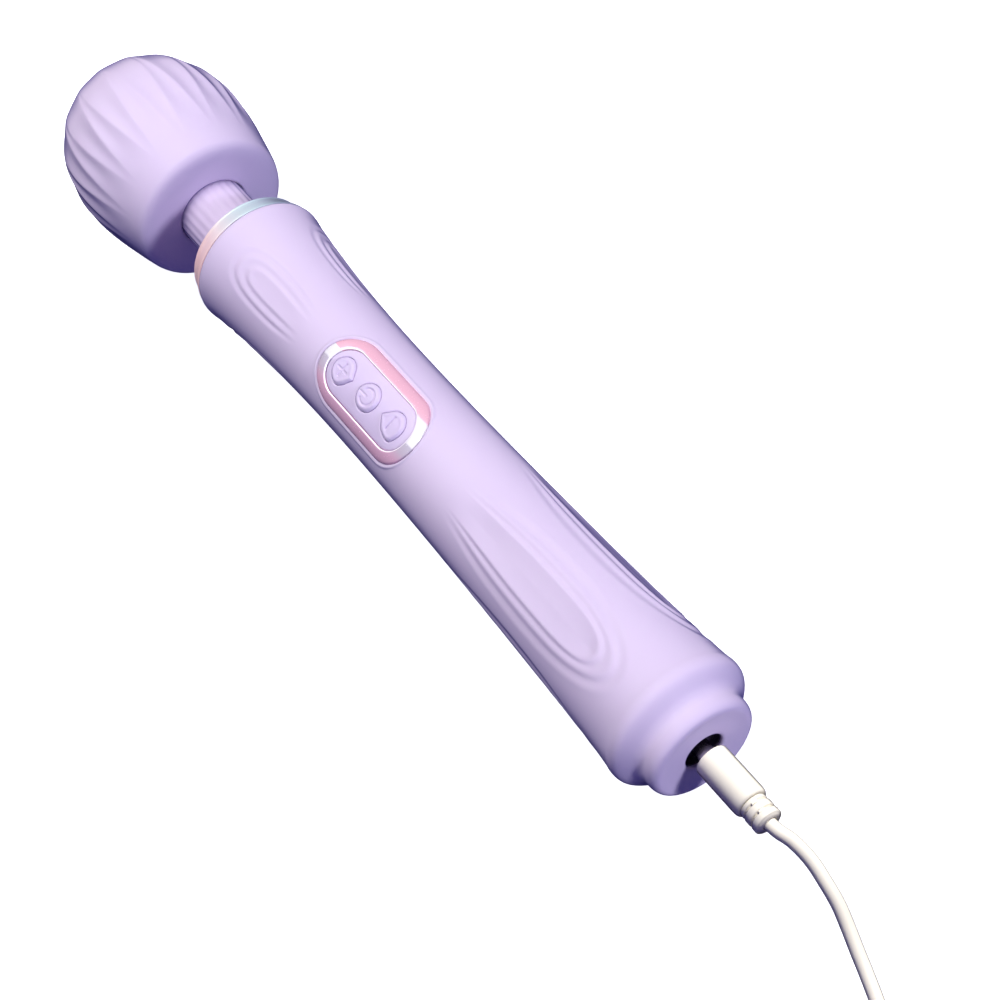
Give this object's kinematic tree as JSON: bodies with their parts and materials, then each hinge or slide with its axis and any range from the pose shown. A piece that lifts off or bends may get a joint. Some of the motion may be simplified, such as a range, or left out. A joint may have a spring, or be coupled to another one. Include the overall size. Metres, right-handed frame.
{
  "type": "handheld wand massager",
  "caption": "Cordless wand massager with a round soft head on a flexible neck, a grooved soft handle with a button panel, and a plugged-in charging lead.",
  "frame": {"origin": "centre of the handle's flat tail end, on the wand's axis, where the charging port opens", "axes": "+X along the wand's axis from the tail to the head, +Z the side with the buttons"},
  "size_m": [0.459, 0.1179, 0.0614],
  "materials": {
    "soft_silicone": "matte, soft touch",
    "neck_silicone": "matte, soft touch",
    "button_silicone": "satin, soft touch",
    "hard_shell": "moulded, unpainted",
    "pearl_ring": "iridescent plated",
    "rose_bezel": "polished rose plated",
    "lead_pvc": "soft gloss",
    "steel": "plain",
    "nickel": "nickel plated",
    "brass": "plain",
    "windings": "enamelled wire on a laminated core",
    "black_plastic": "moulded",
    "board": "solder mask",
    "led_lens": "clear",
    "cell_wrap": "shrink wrap",
    "foam": "closed-cell foam",
    "black_rubber": "matte",
    "wire_red": "insulated wire",
    "wire_black": "insulated wire",
    "white_plastic": "moulded"
  },
  "bodies": {
    "handle": {"handle_grip": "soft_silicone", "front_housing": "hard_shell", "rear_housing": "hard_shell", "housing_screws": "steel", "collar_ring": "pearl_ring", "neck_retainer": "neck_silicone", "panel_bezel": "rose_bezel", "button_pad": "button_silicone", "control_board": "board", "board_screws": "steel", "switch_bodies": "black_plastic", "board_chips": "black_plastic", "status_led": "led_lens", "battery_cell": "steel", "battery_wrap": "cell_wrap", "battery_tabs": "nickel", "battery_foam": "foam", "battery_leads": "wire_red", "charge_board": "board", "charging_jack": "black_plastic", "jack_pin": "nickel", "jack_leads": "wire_black"},
    "neck": {"neck_sleeve": "neck_silicone", "neck_spring": "steel", "motor_leads": "wire_red"},
    "head": {"head_cover": "soft_silicone", "head_shell_front": "hard_shell", "head_shell_rear": "hard_shell", "head_screws": "steel", "motor_can": "steel", "motor_end_cap": "black_plastic", "motor_magnets": "steel", "motor_bushes": "brass", "motor_cushions": "black_rubber"},
    "rotor": {"motor_shaft": "steel", "motor_armature": "windings", "motor_commutator": "windings", "eccentric_weight": "steel"},
    "plus_button": {"button_plus": "button_silicone", "switch_plunger_plus": "black_plastic"},
    "power_button": {"button_power": "button_silicone", "switch_plunger_power": "black_plastic"},
    "minus_button": {"button_minus": "button_silicone", "switch_plunger_minus": "black_plastic"},
    "charging_lead": {"plug_body": "lead_pvc", "plug_barrel": "nickel", "plug_insulator": "black_plastic", "strain_relief": "lead_pvc", "charging_cable": "lead_pvc", "usb_overmold": "lead_pvc", "usb_shell": "nickel", "usb_tongue": "white_plastic", "usb_contacts": "brass"}
  },
  "joints": [
    {"name": "neck_pitch", "type": "hinge", "parent": "handle", "child": "neck", "pos_m": [0.2435, 0, 0], "axis": [0, 1, 0], "range_deg": [-20, 20], "deforming": ["neck_sleeve", "neck_spring", "motor_leads"]},
    {"name": "neck_yaw", "type": "hinge", "parent": "neck", "child": "head", "pos_m": [0.2545, 0, 0], "axis": [0, 0, 1], "range_deg": [-20, 20], "deforming": ["neck_sleeve", "neck_spring", "motor_leads"]},
    {"name": "motor_spin", "type": "hinge", "parent": "head", "child": "rotor", "pos_m": [0.29, 0, 0], "axis": [1, 0, 0], "continuous": true},
    {"name": "plus_press", "type": "slide", "parent": "handle", "child": "plus_button", "axis": [0, 0, -1], "range_m": [0, 0.0006]},
    {"name": "power_press", "type": "slide", "parent": "handle", "child": "power_button", "axis": [0, 0, -1], "range_m": [0, 0.0006]},
    {"name": "minus_press", "type": "slide", "parent": "handle", "child": "minus_button", "axis": [0, 0, -1], "range_m": [0, 0.0006]},
    {"name": "plug_slide", "type": "slide", "parent": "handle", "child": "charging_lead", "axis": [-1, 0, 0], "range_m": [-0.0035, 0.03]}
  ]
}
